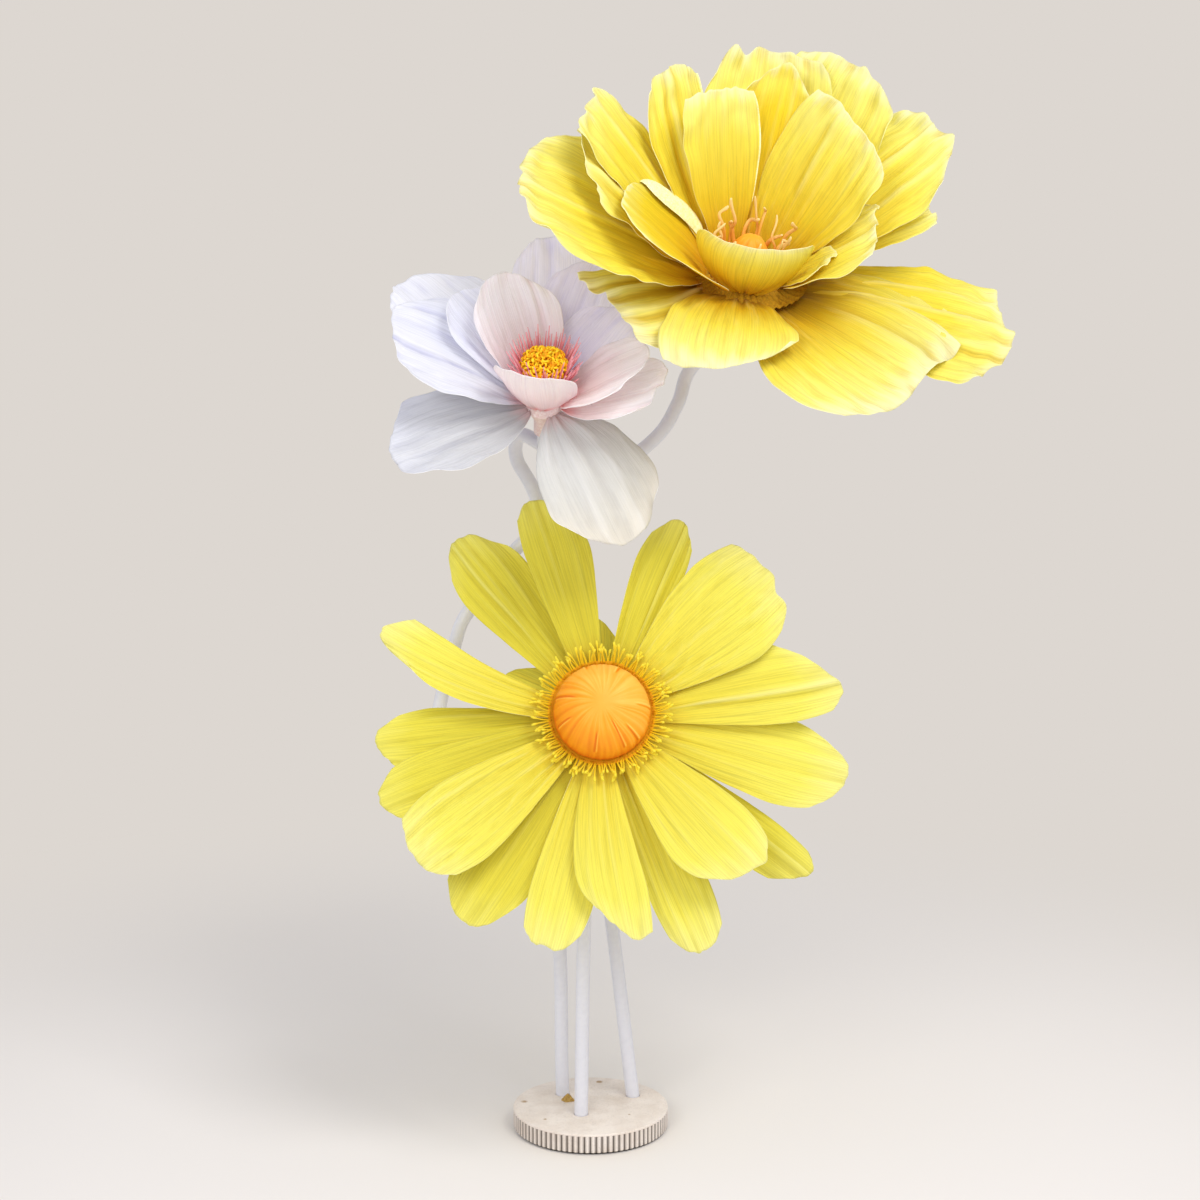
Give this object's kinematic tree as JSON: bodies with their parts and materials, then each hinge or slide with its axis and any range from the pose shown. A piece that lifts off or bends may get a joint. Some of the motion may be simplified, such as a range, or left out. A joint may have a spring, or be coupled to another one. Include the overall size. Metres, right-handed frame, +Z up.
{
  "type": "giant paper flower display",
  "caption": "Floor display of three giant crepe paper flowers, a yellow daisy, a white bloom and a gold bloom, on white stems set in one fluted stone base",
  "frame": {"origin": "centre of the underside of the base pad, on the floor", "axes": "+Z up along the stems; -Y towards the faces of the flowers; +X to the right seen from the front"},
  "size_m": [0.9714, 0.4281, 1.7159],
  "materials": {
    "apricot_paper": "matte, curled strips",
    "gold_card": "matte",
    "gold_crepe": "matte, fine crepe grain",
    "lemon_crepe": "matte, fine crepe grain",
    "ochre_stone": "rough",
    "olive_card": "matte",
    "orange_crepe": "matte, gathered",
    "pad_rubber": "matte",
    "pink_yellow_fringe": "matte, cut in strips",
    "stem_wrap": "satin",
    "stone": "matte, honed, with small pores",
    "white_card": "matte",
    "white_crepe": "matte, translucent",
    "yellow_fringe": "matte, cut in strips"
  },
  "bodies": {
    "root": {"base_disc": "stone", "daisy_dome": "orange_crepe", "daisy_fringe": "yellow_fringe", "daisy_hub": "olive_card", "daisy_petal_a": "lemon_crepe", "daisy_petal_b": "lemon_crepe", "daisy_petal_c": "lemon_crepe", "daisy_petal_d": "lemon_crepe", "daisy_petal_e": "lemon_crepe", "daisy_petal_f": "lemon_crepe", "daisy_petal_g": "lemon_crepe", "daisy_petal_h": "lemon_crepe", "daisy_petal_i": "lemon_crepe", "daisy_petal_j": "lemon_crepe", "daisy_petal_k": "lemon_crepe", "daisy_petal_l": "lemon_crepe", "daisy_petal_m": "lemon_crepe", "daisy_petal_n": "lemon_crepe", "daisy_petal_o": "lemon_crepe", "daisy_petal_p": "lemon_crepe", "daisy_stem": "stem_wrap", "foot_pad": "pad_rubber", "gold_centre": "apricot_paper", "gold_hub": "gold_card", "gold_petal_back": "gold_crepe", "gold_petal_back_inner": "gold_crepe", "gold_petal_back_right": "gold_crepe", "gold_petal_far_right": "gold_crepe", "gold_petal_front": "gold_crepe", "gold_petal_front_right": "gold_crepe", "gold_petal_left": "gold_crepe", "gold_petal_left_inner": "gold_crepe", "gold_petal_left_mid": "gold_crepe", "gold_petal_left_tall": "gold_crepe", "gold_petal_left_upright": "gold_crepe", "gold_petal_low": "gold_crepe", "gold_petal_low_left": "gold_crepe", "gold_petal_low_right": "gold_crepe", "gold_petal_right": "gold_crepe", "gold_petal_right_inner": "gold_crepe", "gold_petal_right_tall": "gold_crepe", "gold_petal_right_upper": "gold_crepe", "gold_petal_upright": "gold_crepe", "gold_stem": "stem_wrap", "stone_chip": "ochre_stone", "white_centre": "pink_yellow_fringe", "white_hub": "white_card", "white_petal_back": "white_crepe", "white_petal_back_left": "white_crepe", "white_petal_back_right": "white_crepe", "white_petal_front": "white_crepe", "white_petal_left": "white_crepe", "white_petal_low": "white_crepe", "white_petal_low_left": "white_crepe", "white_petal_low_right": "white_crepe", "white_petal_mid_left": "white_crepe", "white_petal_right": "white_crepe", "white_petal_right_back": "white_crepe", "white_petal_upper": "white_crepe", "white_stem": "stem_wrap"}
  },
  "joints": []
}
